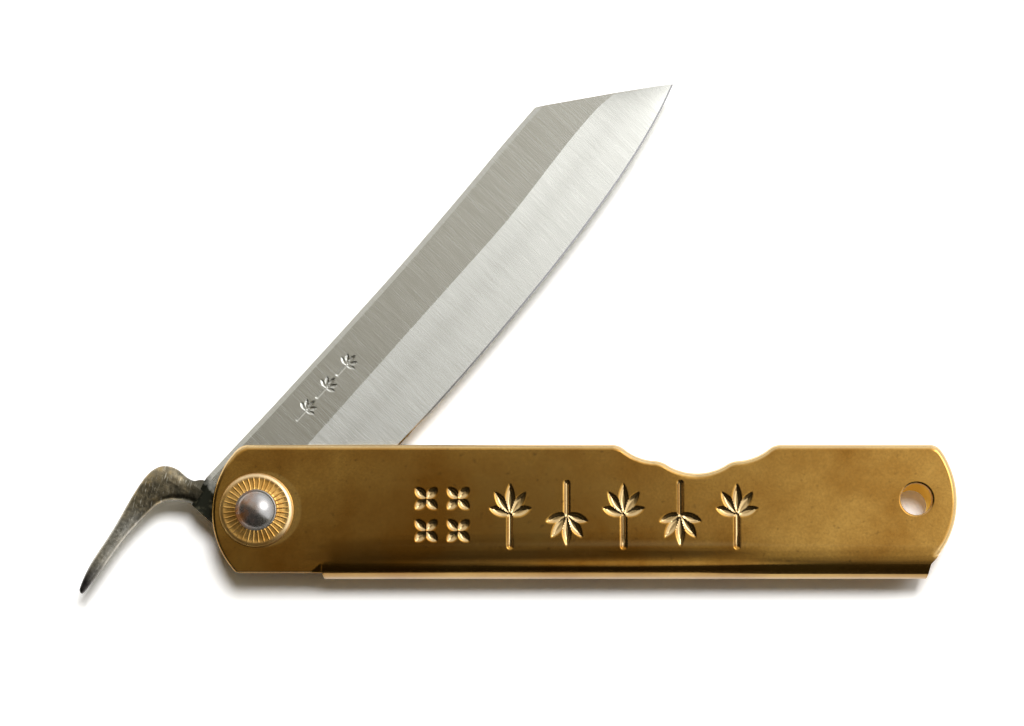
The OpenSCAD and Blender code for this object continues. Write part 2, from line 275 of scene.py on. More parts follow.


# In the looks below, a tuple of four numbers is a span of a pattern or a place, and what it is turned into

# Rolled brass sheet, folded and stamped, then handled for years: a soft sheen under a thin film of wax, brown
# tarnish in clouds, a fine grain, a few specks and faint scratches both ways. Pale rims on the open side and at
# the tail are a painted highlight, and a pale crescent beside the washer is a painted reflection of its rim
brassLook = {
    "clean": "#d0a250", "tarnish": "#9a6410", "cloud": (15.0, 5.0, 0.62), "cloudSpan": (0.34, 0.66, 0, 0.9),
    "speck": "#5f3f14", "speckSize": (0.9, 3.0), "speckSpan": (0.64, 0.74, 0, 0.35),
    "grain": (0.30, 2.0), "grainSpan": (0.35, 0.65, 0, 0.16), "grainRough": 0.05, "grainHeight": 0.35,
    "scratches": (((28, 0.13, 6.0), (0.68, 0.78, 0, 1)), ((-35, 0.13, 4.2), (0.70, 0.80, 0, 1))),
    "scratchHeight": 0.22,
    # A pale crescent beside the washer, a painted reflection of its rim
    "paintedWasherReflection": "#dcb56c", "washerReflectionMiddle": (1.0, 0.15, 0), "washerReflectionR": (4.93, 5.17, 0.45, 0), "washerReflectionRough": 0.12,
    # The rim colour is a painted highlight on the rounded rims of the open side and the tail
    "rim": "#ecd2a0", "rimHighlightZ": (2.58, 2.5, 0, 0.6), "rimHighlightY": (-4.9, -4.5, 0, 1), "tailX": (90.5, 91.5, 0, 1),
    "rimHighlightFrontX": (0.0, 6.0, 0, 1), "rimHighlightFrontY": (2.0, 8.0, 0, 1),
    # The fold colour is painted shade, darkening the bottom of the fold
    "fold": "#8f7c58", "foldY": (-8.1, -8.5, 0, 0.5), "roughness": (0.3, 0.7, 0.12, 0.18),
    "coat": 0.25, "coatRough": 0.2, "bump": (0.35, 0.012),
}


def rolledBrass():
    look = brassLook
    material, tree, shader, coords = newMaterial("rolledBrassSheet")
    cloud = noise(tree, coords, *look["cloud"])
    speck = noise(tree, coords, *look["speckSize"])
    grain = noise(tree, coords, *look["grain"])
    x, y, z = splitAxes(tree, coords)
    colour = tinted(tree, hexColour(look["clean"]), look["tarnish"], cloud, look["cloudSpan"])
    # Painted reflection: a pale crescent beside the washer, where its bright rim would mirror in the sheet
    paintedWasherReflection = toRange(tree, flatDistance(tree, x, y, look["washerReflectionMiddle"]), *look["washerReflectionR"])
    colour = mixColours(tree, paintedWasherReflection, colour, hexColour(look["paintedWasherReflection"]))
    colour = tinted(tree, colour, look["speck"], grain, look["grainSpan"])
    colour = tinted(tree, colour, look["speck"], speck, look["speckSpan"])
    # Painted highlight: rims are pale on the open side and at the tail, where the light falls, and less and
    # less down the front arc
    alongRim = maths(tree, "MAXIMUM", toRange(tree, x, *look["tailX"]), toRange(tree, y, *look["rimHighlightY"]))
    offFront = maths(tree, "MAXIMUM", toRange(tree, x, *look["rimHighlightFrontX"]), toRange(tree, y, *look["rimHighlightFrontY"]))
    rimHighlightShare = toRange(tree, maths(tree, "ABSOLUTE", z, 0), *look["rimHighlightZ"])
    rimHighlightShare = times(tree, rimHighlightShare, times(tree, alongRim, offFront))
    colour = mixColours(tree, rimHighlightShare, colour, hexColour(look["rim"]))
    # Painted shade: the sheet goes darker and duller towards the bottom of the fold
    colour = tinted(tree, colour, look["fold"], y, look["foldY"])
    rough = toRange(tree, cloud, *look["roughness"])
    rough = plus(tree, rough, times(tree, grain, look["grainRough"]))
    rough = plus(tree, rough, times(tree, paintedWasherReflection, look["washerReflectionRough"]))
    feed(tree, shader, {"Base Color": colour, "Roughness": rough, "Metallic": 1.0,
                        "Coat Weight": look["coat"], "Coat Roughness": look["coatRough"]})
    scratches = [toRange(tree, streaks(tree, coords, *lines), *span) for lines, span in look["scratches"]]
    scratch = times(tree, maths(tree, "MAXIMUM", *scratches), look["scratchHeight"])
    height = maths(tree, "SUBTRACT", times(tree, grain, look["grainHeight"]), scratch)
    addBump(tree, shader, height, *look["bump"])
    return material


# The inside of the fold, never polished: dull yellow brass that also scatters light, coloured paler and
# brighter than the sheet as painted bounce light between the cheeks
insideBounceLook = {"brass": "#ffe07a", "dull": "#f6cc62", "cloud": (2.0, 3.0), "metal": 0.15, "roughness": 0.5}


def dullBrassWithBounce():
    look = insideBounceLook
    material, tree, shader, coords = newMaterial("dullBrassInsidePaintedBounce")
    cloud = noise(tree, coords, *look["cloud"])
    colour = mixColours(tree, cloud, hexColour(look["brass"]), hexColour(look["dull"]))
    feed(tree, shader, {"Base Color": colour, "Metallic": look["metal"], "Roughness": look["roughness"]})
    return material


# Pressed brass, brighter than the sheet because the press polished it, under a thin tarnish film that scatters
# some light, with a painted highlight: the rim pale towards the upper right, where the light falls
pressedLook = {
    "clean": "#dcae62", "tarnish": "#b08038", "cloud": (3.0, 4.0), "cloudSpan": (0.35, 0.65, 0, 1),
    # The rim colour is a painted highlight on the rolled rim
    "rim": "#f4dfb6", "rimHighlightR": (4.2, 4.6, 0, 0.65), "rimLit": (-2.5, 2.5, 0.1, 1),
    "metal": 0.88, "roughness": (0.3, 0.7, 0.24, 0.34),
}


def pressedBrass():
    look = pressedLook
    material, tree, shader, coords = newMaterial("pressedBrassWasher")
    cloud = noise(tree, coords, *look["cloud"])
    colour = tinted(tree, hexColour(look["clean"]), look["tarnish"], cloud, look["cloudSpan"])
    x, y, z = splitAxes(tree, coords)
    # Painted highlight on the rolled rim, strongest on the upper right
    rimHighlightShare = toRange(tree, flatDistance(tree, x, y), *look["rimHighlightR"])
    rimHighlightShare = times(tree, rimHighlightShare, toRange(tree, plus(tree, x, y), *look["rimLit"]))
    colour = mixColours(tree, rimHighlightShare, colour, hexColour(look["rim"]))
    feed(tree, shader, {"Base Color": colour, "Metallic": look["metal"],
                        "Roughness": toRange(tree, cloud, *look["roughness"])})
    return material


# Mild steel rivet, domed by a rivet set and worn: a soft shine with faint dents, and brown stains mixed with a
# painted warm reflection of the brass round it, mostly on the side away from the handle
rivetLook = {
    "steel": "#a6a7a7", "stainAndWarmReflection": "#985c10", "brownPatchSize": (1.5, 3.0), "brownPatchSpan": (0.35, 0.6, 0.2, 0.9),
    "brownSideX": (0.9, -1.8, 0.1, 1), "metal": (0, 1, 1, 0.72), "roughness": (0.3, 0.7, 0.21, 0.31),
    "dent": (0.8, 1.0), "bump": (0.15, 0.03),
}


def polishedRivet():
    look = rivetLook
    material, tree, shader, coords = newMaterial("polishedRivetSteel")
    stainAndWarmReflection = noise(tree, coords, *look["brownPatchSize"])
    x, y, z = splitAxes(tree, coords)
    # Brown stains and a painted warm reflection, duller and less metallic, towards the side away from the
    # handle
    share = times(tree, toRange(tree, stainAndWarmReflection, *look["brownPatchSpan"]), toRange(tree, x, *look["brownSideX"]))
    colour = mixColours(tree, share, hexColour(look["steel"]), hexColour(look["stainAndWarmReflection"]))
    feed(tree, shader, {"Base Color": colour, "Metallic": toRange(tree, share, *look["metal"]),
                        "Roughness": toRange(tree, stainAndWarmReflection, *look["roughness"])})
    addBump(tree, shader, noise(tree, coords, *look["dent"]), *look["bump"])
    return material


# Laminated blade steel, ground on a wheel across the blade: grey satin with fine lines across it, and
# dark forging scale left on the tang.
# The real lines are about 0.05 mm apart and are drawn coarser, so that they show.
groundLook = {
    "bright": "#dadad4", "dull": "#cdcdc6", "lean": -2, "fine": (0.08, 4.0), "fineDetail": 3.0,
    "broad": (1.2, 14.0), "shares": (0.75, 0.25), "lineSpan": (0.34, 0.66, 0, 1),
    "roughness": (0.3, 0.7, 0.21, 0.28), "anisotropy": 0.6, "bump": (0.2, 0.008), "honed": "#a2a2a4",
    "scale": "#2b2c24", "spot": "#77745e", "patch": (10 / 9, 4.0), "spotSpan": (0.5, 0.68, 0, 0.8),
    "wander": 3.0, "scaleEnd": (-0.7, 0.7, 1, 0), "scaleRough": 0.5,
}


def groundSteel():
    look = groundLook
    material, tree, shader, coords = newMaterial("groundBladeSteel", restAngle)
    fine = streaks(tree, coords, look["lean"], *look["fine"], look["fineDetail"])
    broad = streaks(tree, coords, look["lean"], *look["broad"])
    fineShare, broadShare = look["shares"]
    lines = plus(tree, times(tree, fine, fineShare), times(tree, broad, broadShare))
    steel = tinted(tree, hexColour(look["dull"]), look["bright"], lines, look["lineSpan"])
    x, y, z = splitAxes(tree, coords)
    patch = noise(tree, coords, *look["patch"])
    along = plus(tree, x, times(tree, patch, look["wander"]))
    scaled = toRange(tree, along, *look["scaleEnd"])
    scale = tinted(tree, hexColour(look["scale"]), look["spot"], patch, look["spotSpan"])
    rough = mixValues(tree, scaled, toRange(tree, fine, *look["roughness"]), look["scaleRough"])
    tangent = addNode(tree, "ShaderNodeTangent", direction_type="UV_MAP", uv_map="grinding")
    colour = mixColours(tree, scaled, steel, scale)
    feed(tree, shader, {"Base Color": colour, "Roughness": rough, "Metallic": 1.0,
                        "Anisotropic": look["anisotropy"], "Tangent": tangent.outputs[0]})
    addBump(tree, shader, fine, *look["bump"])
    return material


# The cutting edge, honed on a stone: a darker grey than the flats, and its steep faces look at the room's dark
# side
def honedSteel():
    look = groundLook
    material, tree, shader, coords = newMaterial("honedEdgeSteel", restAngle)
    lines = streaks(tree, coords, 0, *look["fine"])
    feed(tree, shader, {"Base Color": hexColour(look["honed"]), "Metallic": 1.0,
                        "Roughness": toRange(tree, lines, *look["roughness"])})
    return material


# Forged steel as it left the hammer and the hardening fire: brown-grey scale, straw temper tints and bright
# file marks, paler on the arm, sooty at the tip and dark where it meets the tang
forgedLook = {
    "dark": "#464338", "scale": "#a0947a", "scaleSpan": (0.35, 0.62, 0, 1),
    "straw": "#b49a66", "strawSpan": (0.55, 0.75, 0, 1),
    "bright": "#e8e2d2", "filed": (-60, 0.18, 1.3), "filedSpan": (0.60, 0.72, 0, 0.85),
    "grey": "#bab7ad", "armX": (-8.0, -11.5, 0, 0.75), "armWander": 4.0,
    "soot": "#24202a", "tipX": (-21.0, -17.0, 0.9, 0), "tipWander": 3.0,
    "tangY": (9.6, 12.2, 0.9, 0), "tangWander": 2.5,
    "patch": (2.2, 5.0, 0.6), "pit": (0.45, 3.0), "patchHeight": 1.5, "roughness": (0.3, 0.7, 0.30, 0.46),
    "bump": (0.6, 0.08),
}


def forgedSteel():
    look = forgedLook
    material, tree, shader, coords = newMaterial("forgedLeverSteel", restAngle)
    patch = noise(tree, coords, *look["patch"])
    pit = noise(tree, coords, *look["pit"])
    filed = streaks(tree, coords, *look["filed"])
    colour = tinted(tree, hexColour(look["dark"]), look["scale"], patch, look["scaleSpan"])
    colour = tinted(tree, colour, look["straw"], patch, look["strawSpan"])
    colour = tinted(tree, colour, look["bright"], filed, look["filedSpan"])
    x, y, z = splitAxes(tree, coords)
    for place, wander, code, span in ((x, "armWander", "grey", "armX"), (x, "tipWander", "soot", "tipX"),
                                      (y, "tangWander", "dark", "tangY")):
        ragged = plus(tree, place, times(tree, patch, look[wander]))
        colour = tinted(tree, colour, look[code], ragged, look[span])
    feed(tree, shader, {"Base Color": colour, "Metallic": 1.0,
                        "Roughness": toRange(tree, pit, *look["roughness"])})
    height = plus(tree, pit, times(tree, patch, look["patchHeight"]))
    addBump(tree, shader, height, *look["bump"])
    return material


# Leaves are pressed into the cheek and engraved in the blade, as depths from 0 to 1 at points of a fine grid
# Each leaf of a sprig has its angle and its share of the length
sprigShape = {"leaves": ((0, 1.0), (34, 0.88), (-34, 0.88), (72, 0.7), (-72, 0.7)),
              "stemLength": 1.05, "stemCrown": 0.7}


def rise(inside, foot, crown):      # a smooth step from foot outside a line to crown inside it
    share = np.clip((inside + foot) / (foot + crown), 0, 1)
    return share * share * (3 - 2 * share)


def leafDepth(x, y, stalk, angle, length, width, foot, crown):
    a = math.radians(angle)
    along = (x - stalk[0]) * math.cos(a) + (y - stalk[1]) * math.sin(a) - length / 2
    across = np.abs((y - stalk[1]) * math.cos(a) - (x - stalk[0]) * math.sin(a))
    radius = (length ** 2 + width ** 2) / (4 * width)
    return rise(radius - np.hypot(along, across + radius - width / 2), foot, crown)


def stemDepth(x, y, start, end, width, foot, crown):
    run, climb = end[0] - start[0], end[1] - start[1]
    t = np.clip(((x - start[0]) * run + (y - start[1]) * climb) / (run ** 2 + climb ** 2), 0, 1)
    return rise(width / 2 - np.hypot(x - start[0] - t * run, y - start[1] - t * climb), foot, crown)


def sprigDepth(x, y, centre, heading, length, width, stem, foot, crown):
    a = math.radians(heading)
    reach = sprigShape["stemLength"] * length
    tail = (centre[0] - reach * math.cos(a), centre[1] - reach * math.sin(a))
    depth = stemDepth(x, y, tail, centre, stem, foot, crown * sprigShape["stemCrown"])
    for angle, share in sprigShape["leaves"]:
        depth = np.maximum(depth, leafDepth(x, y, centre, heading + angle, length * share, width, foot, crown))
    return depth


def onFlat(level):
    return lambda c, n: n.z > 0.999 and abs(c.z - level) < 0.01


def cutLines(obj, wanted, xs=(), ys=()):      # lines cut across the faces that are wanted
    for x in xs:
        pickFaces(obj, wanted)
        bpy.ops.mesh.bisect(plane_co=(x, 0, 0), plane_no=(1, 0, 0))
    for y in ys:
        pickFaces(obj, wanted)
        bpy.ops.mesh.bisect(plane_co=(0, y, 0), plane_no=(0, 1, 0))


def gridBorders(obj, low, high, pieces, level):      # a rectangle of the flat, cut into equal pieces
    flat = onFlat(level)
    startEdit(obj)
    cutLines(obj, flat, xs=[low[0] + (high[0] - low[0]) * i / pieces for i in range(pieces + 1)])
    cutLines(obj, lambda c, n: flat(c, n) and low[0] < c.x < high[0], ys=(low[1], high[1]))
    endEdit()
    return lambda c, n: flat(c, n) and low[0] < c.x < high[0] and low[1] < c.y < high[1]


def subdivide(obj, wanted, cuts):
    startEdit(obj)
    pickFaces(obj, wanted)
    bpy.ops.mesh.subdivide(number_cuts=cuts)
    endEdit()


def pressIn(obj, above, depthAt, depth):      # what is above a level goes down by shares of a depth
    places = np.empty(len(obj.data.vertices) * 3)
    obj.data.vertices.foreach_get("co", places)
    places = places.reshape(-1, 3)
    shares = depthAt(places[:, 0], places[:, 1]) * (places[:, 2] > above)
    group = obj.vertex_groups.new(name="pressed")
    for i in np.nonzero(shares > 0.001)[0]:
        group.add([int(i)], min(float(shares[i]), 1.0), "REPLACE")
    useModifier(obj, "DISPLACE", direction="Z", strength=-depth, mid_level=0.0, vertex_group="pressed")
    obj.vertex_groups.clear()


# Handle: one brass sheet folded to a channel, all sizes in mm
handleSizes = {
    "tail": 94.0, "front": -6.0, "open": 8.85, "back": 9.15, "cut": 8.28, "sheet": 1.0, "slot": 3.2,
    "frontR": 12.0, "tailR": 12.0, "tailCentre": 1.4, "foldStart": 8.8, "foldEnd": (90.5, 89.9),
    "foldSlant": 0.32, "foldDeep": 2.2, "notch": (59.06, 12.6, 7.6), "scallop": (5.1, 14.15, 7.5),
    "cornerReach": 1.0, "hole": (88.5, 1.5, 2.1), "farHole": (88.25, 0.78, 2.1), "rivetR": 1.5,
}
sheetHalf = handleSizes["slot"] / 2 + handleSizes["sheet"]      # from the middle to the outside of a cheek
bendY = sheetHalf - handleSizes["back"]      # middle of the fold
spare = 0.5      # blanks are this much longer, and the outline cuts it off
lap = 0.02      # flat cheeks reach this far into the channel
tall = 4.0      # half the height of what cuts through both cheeks

# Its outline runs just past the sheet's straight edges and comes in where they are cut
outlineSizes = {"past": 0.015, "clear": 0.3, "outX": 1.1, "outY": 1.2, "below": -10.5, "lowX": -1.0,
                "slantY": -6.55, "tailStart": -40.0, "tailStep": 0.02}

# The pattern on the cheek
leafSizes = {"firstX": 34.0, "pitch": 7.6, "count": 5, "y": -0.6, "length": 4.0, "width": 1.05, "stem": 0.6,
             "rosette": (24.9, 2.15), "petal": 1.75, "petalGap": 0.15, "depth": 0.3, "foot": 0.14,
             "crown": 0.34, "grid": ((20.4, -5.5), (68.8, 4.12)), "gridPieces": 5, "gridCuts": 84}
# The sheet creases beside the fold: its drop by y, its share by x, and by x how far it lies from the fold
creaseRows = ((-3.4, 0.0), (-4.0, 0.005), (-4.5, 0.016), (-4.9, 0.025), (-5.2, 0.034), (-5.5, 0.044),
              (-5.9, 0.062), (-6.2, 0.080), (-6.5, 0.099), (-6.75, 0.113), (-6.95, 0.119), (-7.18, 0.117),
              (-7.41, 0.106), (-7.63, 0.086), (-7.85, 0.06), (-8.05, 0.035), (-8.4, 0.0))
creaseColumns = ((8.6, 0.0), (9.2, 0.5), (10.5, 0.8), (15.0, 1.2), (30.0, 1.4), (45.0, 1.7), (60.0, 1.6),
                 (70.0, 0.45), (78.0, 0.0), (90.0, 0.0))
creaseShift = ((9.0, -0.3), (19.0, 0.0), (46.0, 0.45), (94.0, 0.45))
# Towards the tail the sheet rolls into the fold instead: its drop by y and its share by x
rollRows = ((-3.6, 0.0), (-4.0, 0.0035), (-4.5, 0.0166), (-4.9, 0.0327), (-5.2, 0.047), (-5.5, 0.064),
            (-5.9, 0.091), (-6.2, 0.115), (-6.5, 0.142), (-6.75, 0.167), (-6.95, 0.187), (-7.18, 0.202),
            (-7.41, 0.206), (-7.63, 0.202), (-7.85, 0.19), (-8.05, 0.17), (-8.4, 0.12), (-8.9, 0.0))
rollColumns = ((60.0, 0.0), (70.0, 0.5), (80.0, 0.95), (90.0, 1.0))
creaseFade = (-8.6, 0.6)      # from this y, over this width
# Lines across the sheet: at the fold's start, at the pattern's borders and near the tail
sheetColumns = (6.0, 7.4, 9.2, 10.5, 15.0, 20.4, 30.08, 39.76, 49.44, 59.12, 68.8, 80.0)
rowStart = 6.0      # lines along the crease start at this x


def cheekDepth(x, y):
    s = leafSizes
    shape = (s["foot"], s["crown"])
    depth = np.zeros(len(x))
    for i in range(s["count"]):      # sprigs stand up and hang down in turn
        centre, heading = (s["firstX"] + i * s["pitch"], s["y"]), 90 if i % 2 == 0 else -90
        depth = np.maximum(depth, sprigDepth(x, y, centre, heading, s["length"], s["width"], s["stem"], *shape))
    reach, step = s["rosette"]
    for sx in (-1, 1):
        for sy in (-1, 1):
            for angle in (45, 135, 225, 315):
                a = math.radians(angle)
                stalk = (reach + sx * step + s["petalGap"] * math.cos(a),
                         s["y"] + sy * step + s["petalGap"] * math.sin(a))
                depth = np.maximum(depth, leafDepth(x, y, stalk, angle, s["petal"], s["width"], *shape))
    fromFold = y - np.interp(x, *zip(*creaseShift))
    crease = np.interp(fromFold, *zip(*reversed(creaseRows))) * np.interp(x, *zip(*creaseColumns))
    crease *= np.clip((y - creaseFade[0]) / creaseFade[1], 0, 1)
    roll = np.interp(y, *zip(*reversed(rollRows))) * np.interp(x, *zip(*rollColumns))
    return depth + (crease + roll) / s["depth"]


def roundCorner(points, corner, reach, steps=6):      # a curve from a reach before the corner to one after it
    at = points.index(corner)
    before, after = at, at
    while math.dist(points[before], corner) < reach:
        before -= 1
    while math.dist(points[after], corner) < reach:
        after += 1
    bend = Vector(corner)
    start = bend + (Vector(points[before]) - bend).normalized() * reach
    end = bend + (Vector(points[after]) - bend).normalized() * reach
    curve = []
    for i in range(steps + 1):
        t = i / steps
        curve.append(tuple(start * (1 - t) ** 2 + bend * 2 * t * (1 - t) + end * t ** 2))
    return points[:before + 1] + curve + points[after:]


def handleOutline():
    s, o = handleSizes, outlineSizes
    away = s["cornerReach"] + o["clear"]
    slope = (s["foldEnd"][0] - s["foldEnd"][1]) / sheetHalf

    def crossing(centre, radius, side):      # where an arc reaches the open side, and its angle there
        y = s["open"] - centre[1]
        x = side * math.sqrt(radius ** 2 - y ** 2)
        return (centre[0] + x, s["open"]), math.degrees(math.atan2(y, x)) % 360

    def straight(corner, side):      # beside a corner the outline goes out past the straight edge
        return [(corner[0] + side * away * o["outX"], s["open"] * o["outY"]),
                (corner[0] + side * away, s["open"] + o["past"])]

    def slantX(y):      # the fold's slanted end
        return s["foldEnd"][0] + (y - o["slantY"]) * slope

    front, tail = (s["front"] + s["frontR"], 0), (s["tail"] - s["tailR"], s["tailCentre"])
    # The front arc crosses the cut edge at a sharp corner
    lowAngle = 180 + math.degrees(math.asin((s["cut"] + spare) / s["frontR"]))
    topCorner, topAngle = crossing(front, s["frontR"], -1)
    # The pinch notch: a middle scallop and one on each side, which meet at cross
    nx, ny, nr = s["notch"]
    offset, sy, sr = s["scallop"]
    span = math.hypot(offset, sy - ny)
    toCross = (nr ** 2 - sr ** 2 + span ** 2) / (2 * span)
    lift = math.sqrt(nr ** 2 - toCross ** 2)
    ux, uy = offset / span, (sy - ny) / span
    cross = (ux * toCross + uy * lift, uy * toCross - ux * lift)
    middleEnd = math.degrees(math.atan2(cross[1], cross[0]))
    outerStart = math.degrees(math.atan2(cross[1] + ny - sy, cross[0] - offset))
    rightCorner, rightAngle = crossing((nx + offset, sy), sr, 1)
    leftCorner, leftAngle = crossing((nx - offset, sy), sr, -1)
    left = arc((nx - offset, sy), sr, leftAngle, 180 - outerStart)
    middle = arc((nx, ny), nr, -180 - middleEnd, middleEnd)
    right = arc((nx + offset, sy), sr, outerStart, rightAngle - 360)
    # The tail arc ends where it meets the fold's slanted end
    tailCorner, tailAngle = crossing(tail, s["tailR"], 1)
    tailLow = o["tailStart"]
    while tail[0] + s["tailR"] * math.cos(math.radians(tailLow)) > slantX(
            s["tailCentre"] + s["tailR"] * math.sin(math.radians(tailLow))):
        tailLow -= o["tailStep"]
    points = [(o["lowX"], o["below"])] + arc(front, s["frontR"], lowAngle, topAngle)[:-1]
    points += [topCorner] + straight(topCorner, 1)[::-1]
    points += straight(leftCorner, -1) + [leftCorner] + left[1:] + middle[1:] + right[1:-1] + [rightCorner]
    points += straight(rightCorner, 1)[::-1] + straight(tailCorner, -1)
    points += [tailCorner] + arc(tail, s["tailR"], tailAngle, tailLow)[1:] + [(slantX(o["below"]), o["below"])]
    for corner in (topCorner, leftCorner, left[-1], middle[-1], rightCorner, tailCorner):
        points = roundCorner(points, corner, s["cornerReach"])
    return points


def makeChannel():
    s = handleSizes
    inner, deep = s["slot"] / 2, s["foldDeep"]      # the fold is a little tighter than a half circle
    low, high = s["front"] - spare, s["tail"] + spare
    # Channel section in Y and Z, drawn flat, stood up and pulled along X
    turns = [math.radians(a) for a in range(90, 271, 6)]
    outside = [(deep - s["back"] + deep * math.cos(a), sheetHalf * math.sin(a)) for a in turns]
    turns = [math.radians(a) for a in range(270, 89, -9)]
    inside = [(bendY + inner * math.cos(a), inner * math.sin(a)) for a in turns]
    section = [(s["open"], sheetHalf)] + outside + [(s["open"], -sheetHalf), (s["open"], -inner)] + inside
    made = prism(section + [(s["open"], inner)], s["foldStart"], high)
    made.data.transform(Matrix(((0, 0, 1, 0), (1, 0, 0, 0), (0, 1, 0, 0), (0, 0, 0, 1))))
    for vertex in made.data.vertices:
        if vertex.co.x < s["foldStart"] + 0.1 and vertex.co.y < -s["cut"]:
            vertex.co.x += (-s["cut"] - vertex.co.y) * s["foldSlant"]
    for side in (-1, 1):      # flat cheeks round the pivot, where the fold is cut away
        bpy.ops.mesh.primitive_cube_add(size=1, location=(
            (low + s["foldStart"] + lap) / 2, (s["open"] - s["cut"]) / 2, side * (sheetHalf + inner) / 2))
        cheek = bpy.context.object
        cheek.scale = (s["foldStart"] + lap - low, s["open"] + s["cut"], s["sheet"])
        bpy.ops.object.transform_apply(location=True, rotation=False, scale=True)
        combine(made, cheek, "UNION")
    combine(made, prism(handleOutline(), -tall, tall), "INTERSECT")
    combine(made, rod(*s["hole"], 0, tall), "DIFFERENCE")
    combine(made, rod(*s["farHole"], -tall, 0), "DIFFERENCE")
    combine(made, rod(0, 0, s["rivetR"], -tall, tall), "DIFFERENCE")
    startEdit(made)
    bpy.ops.mesh.select_all(action="SELECT")
    bpy.ops.mesh.remove_doubles(threshold=0.05)
    bpy.ops.mesh.dissolve_limited(angle_limit=math.radians(0.5))
    endEdit()
    print("handle channel cut,", len(made.data.polygons), "faces")
    return made


# Rounded rims: the width, and the share of it at the lanyard hole, at the cut side and down the front arc
rimSizes = {
    "round": 0.75, "segments": 4, "atHole": 0.4, "atCut": 0.22, "frontLeast": 0.4, "frontFall": 0.6,
    "frontTurn": (135, 80), "sharp": 0.6, "rivetClear": 2.0, "holeClear": 0.7, "acrossSheet": 0.3,
    "foldClear": 0.5, "tailX": 89.0, "foldStartX": (7.5, 9.45), "near": 0.05,
}


def rimShare(edge, inGrid):      # how much of the rounding an edge of the handle gets
    s, r = handleSizes, rimSizes
    ends = [vertex.co for vertex in edge.verts]
    middle = (ends[0] + ends[1]) / 2
    if len(edge.link_faces) < 2 or edge.calc_face_angle() < r["sharp"] or middle.xy.length < r["rivetClear"]:
        return 0
    if abs(ends[0].z - ends[1].z) > r["acrossSheet"] and middle.y > bendY:
        return 0
    atStart = r["foldStartX"][0] < middle.x < r["foldStartX"][1]
    if middle.y < bendY + r["foldClear"] and (middle.x > r["tailX"] or atStart):
        return 0
    if inGrid(middle, Vector((0, 0, 1))) or abs(middle.z) < sheetHalf - r["near"] and middle.y > bendY:
        return 0
    atCut = middle.y < -s["cut"] + r["near"] and middle.x < s["foldStart"]
    turned = math.degrees(math.atan2(middle.y, middle.x - s["front"] - s["frontR"])) % 360
    start, over = r["frontTurn"]
    if middle.x < 0 and not atCut and turned > start:
        return max(1 - r["frontFall"] * (turned - start) / over, r["frontLeast"])
    if (middle.xy - Vector(s["hole"][:2])).length < s["hole"][2] + r["holeClear"]:
        return r["atHole"]
    return r["atCut"] if atCut else 1


def roundRims(made, inGrid):
    made.data.attributes.new("bevel_weight_edge", "FLOAT", "EDGE")
    mesh = bmesh.new()
    mesh.from_mesh(made.data)
    layer = mesh.edges.layers.float["bevel_weight_edge"]
    for edge in mesh.edges:
        edge[layer] = rimShare(edge, inGrid)
    mesh.to_mesh(made.data)
    mesh.free()
    useModifier(made, "BEVEL", limit_method="WEIGHT", width=rimSizes["round"], segments=rimSizes["segments"],
                loop_slide=False, use_clamp_overlap=False)


def makeHandle():
    s = leafSizes
    made = makeChannel()
    low, high = s["grid"]
    inGrid = gridBorders(made, low, high, s["gridPieces"], sheetHalf)
    subdivide(made, inGrid, s["gridCuts"])

    def besideGrid(c, n):      # the flat below the pattern and on both sides of it
        return onFlat(sheetHalf)(c, n) and c.y < high[1] and c.x > rowStart and not inGrid(c, n)

    startEdit(made)
    cutLines(made, lambda c, n: not inGrid(c, n) and c.y < 0, xs=sheetColumns)
    foldTop = handleSizes["foldDeep"] - handleSizes["back"] + 0.1
    cutLines(made, besideGrid, ys=[y for y, drop in creaseRows if y > foldTop])
    bpy.ops.mesh.select_all(action="SELECT")
    bpy.ops.mesh.remove_doubles(threshold=0.05)
    endEdit()
    roundRims(made, inGrid)
    # Flat faces are cut into even triangles, and gaps that the rounding leaves are filled
    startEdit(made)
    pickFaces(made, lambda c, n: not inGrid(c, n) and abs(n.z) > 0.9)
    bpy.ops.mesh.quads_convert_to_tris(quad_method="BEAUTY", ngon_method="BEAUTY")
    endEdit()
    startEdit(made)
    bpy.ops.mesh.select_mode(type="EDGE")
    bpy.ops.mesh.select_non_manifold(
        extend=False, use_wire=False, use_multi_face=False, use_non_contiguous=False, use_verts=False)
    bpy.ops.mesh.fill_holes(sides=6)
    endEdit()
    pressIn(made, sheetHalf - 1.5, cheekDepth, s["depth"])
    return made


def insideFaces(made):      # the faces of the handle that look into the slot
    floorY = handleSizes["sheet"] - handleSizes["back"] - 0.05
    return [face.index for face in made.data.polygons
            if abs(face.center.z) < handleSizes["slot"] / 2 + 0.01 and face.center.z * face.normal.z <= 0
            and face.center.y > floorY and abs(face.normal.z) > 0.2]


# Washers: pressed brass discs with a flat seat, fine ribs on the slope and a rolled rim
washerSizes = {"bore": 1.5, "seat": 2.8, "rimStart": 4.4, "radius": 5.0, "height": 0.9, "rimHeight": 0.65,
               "slopeSteps": 10, "ribs": 36, "stepsPerRib": 16, "ribWidth": 0.10, "grooveDepth": 0.095,
               "grooveStart": (-0.05, 0.12), "grooveEnd": 0.7, "above": 0.3}


